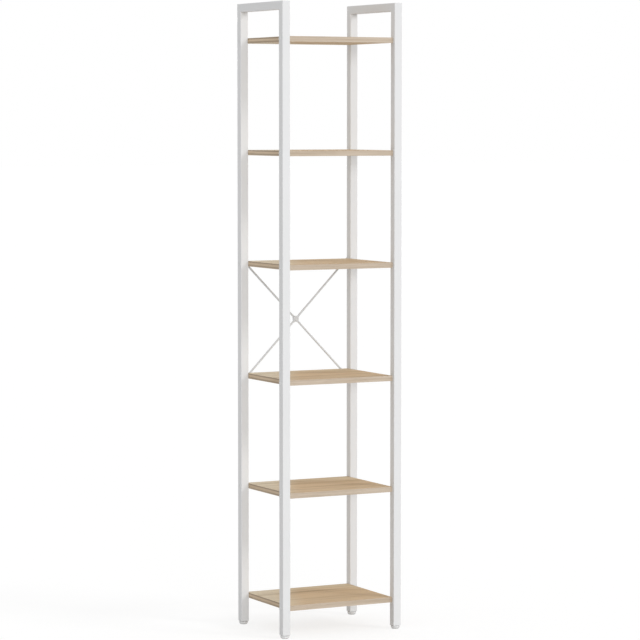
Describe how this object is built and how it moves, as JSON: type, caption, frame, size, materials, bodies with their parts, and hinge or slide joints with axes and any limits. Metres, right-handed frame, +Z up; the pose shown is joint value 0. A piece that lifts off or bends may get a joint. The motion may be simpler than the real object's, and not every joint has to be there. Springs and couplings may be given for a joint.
{
  "type": "bookcase",
  "caption": "Tall narrow open bookcase: white square-tube steel side frames, oak-look shelves bolted between them, a crossed rod brace at the back and levelling feet.",
  "frame": {"origin": "on the floor, under the middle of the whole outline", "axes": "+X along the shelves to the right as seen from the front, +Y to the rear, +Z up"},
  "size_m": [0.403, 0.3172, 1.89],
  "materials": {
    "white_powder_coat": "satin white powder coat",
    "oak_board": "pale oak-look laminate on chipboard, fine grain along the board, matt",
    "white_bolt": "white painted low heads",
    "zinc_steel": "zinc plated",
    "brace_steel": "thin off-white coat on flattened steel rod",
    "white_plastic": "moulded white plastic"
  },
  "bodies": {
    "frame": {"front_left_post": "white_powder_coat", "front_right_post": "white_powder_coat", "rear_left_post": "white_powder_coat", "rear_right_post": "white_powder_coat", "left_top_rail": "white_powder_coat", "right_top_rail": "white_powder_coat", "shelf_1": "oak_board", "shelf_2": "oak_board", "shelf_3": "oak_board", "shelf_4": "oak_board", "shelf_5": "oak_board", "shelf_6": "oak_board", "shelf_1_bolts": "white_bolt", "shelf_2_bolts": "white_bolt", "shelf_3_bolts": "white_bolt", "shelf_4_bolts": "white_bolt", "shelf_5_bolts": "white_bolt", "shelf_6_bolts": "white_bolt", "shelf_1_barrel_nuts": "zinc_steel", "shelf_2_barrel_nuts": "zinc_steel", "shelf_3_barrel_nuts": "zinc_steel", "shelf_4_barrel_nuts": "zinc_steel", "shelf_5_barrel_nuts": "zinc_steel", "shelf_6_barrel_nuts": "zinc_steel", "foot_nuts": "zinc_steel", "brace_screws": "zinc_steel", "brace_rivet_nuts": "zinc_steel", "brace_rod_rising": "brace_steel", "brace_rod_falling": "brace_steel", "brace_rivet": "brace_steel", "front_left_tube_plug": "white_plastic", "front_right_tube_plug": "white_plastic", "rear_left_tube_plug": "white_plastic", "rear_right_tube_plug": "white_plastic"},
    "front_left_foot": {"front_left_foot_pad": "white_plastic"},
    "front_left_stud": {"front_left_foot_stud": "zinc_steel"},
    "front_right_foot": {"front_right_foot_pad": "white_plastic"},
    "front_right_stud": {"front_right_foot_stud": "zinc_steel"},
    "rear_left_foot": {"rear_left_foot_pad": "white_plastic"},
    "rear_left_stud": {"rear_left_foot_stud": "zinc_steel"},
    "rear_right_foot": {"rear_right_foot_pad": "white_plastic"},
    "rear_right_stud": {"rear_right_foot_stud": "zinc_steel"}
  },
  "joints": [
    {"name": "front_left_foot_travel", "type": "slide", "parent": "frame", "child": "front_left_foot", "axis": [0, 0, -1], "range_m": [0, 0.01]},
    {"name": "front_left_stud_turn", "type": "hinge", "parent": "front_left_foot", "child": "front_left_stud", "pos_m": [-0.1875, -0.1451, 0.01], "axis": [0, 0, -1], "range_deg": [0, 2880]},
    {"name": "front_right_foot_travel", "type": "slide", "parent": "frame", "child": "front_right_foot", "axis": [0, 0, -1], "range_m": [0, 0.01]},
    {"name": "front_right_stud_turn", "type": "hinge", "parent": "front_right_foot", "child": "front_right_stud", "pos_m": [0.1875, -0.1451, 0.01], "axis": [0, 0, -1], "range_deg": [0, 2880]},
    {"name": "rear_left_foot_travel", "type": "slide", "parent": "frame", "child": "rear_left_foot", "axis": [0, 0, -1], "range_m": [0, 0.01]},
    {"name": "rear_left_stud_turn", "type": "hinge", "parent": "rear_left_foot", "child": "rear_left_stud", "pos_m": [-0.1875, 0.1379, 0.01], "axis": [0, 0, -1], "range_deg": [0, 2880]},
    {"name": "rear_right_foot_travel", "type": "slide", "parent": "frame", "child": "rear_right_foot", "axis": [0, 0, -1], "range_m": [0, 0.01]},
    {"name": "rear_right_stud_turn", "type": "hinge", "parent": "rear_right_foot", "child": "rear_right_stud", "pos_m": [0.1875, 0.1379, 0.01], "axis": [0, 0, -1], "range_deg": [0, 2880]}
  ],
  "couplings": [
    {"joint": "front_left_stud_turn", "follows": "front_left_foot_travel", "rad_per_m": 5026.5},
    {"joint": "front_right_stud_turn", "follows": "front_right_foot_travel", "rad_per_m": 5026.5},
    {"joint": "rear_left_stud_turn", "follows": "rear_left_foot_travel", "rad_per_m": 5026.5},
    {"joint": "rear_right_stud_turn", "follows": "rear_right_foot_travel", "rad_per_m": 5026.5}
  ]
}
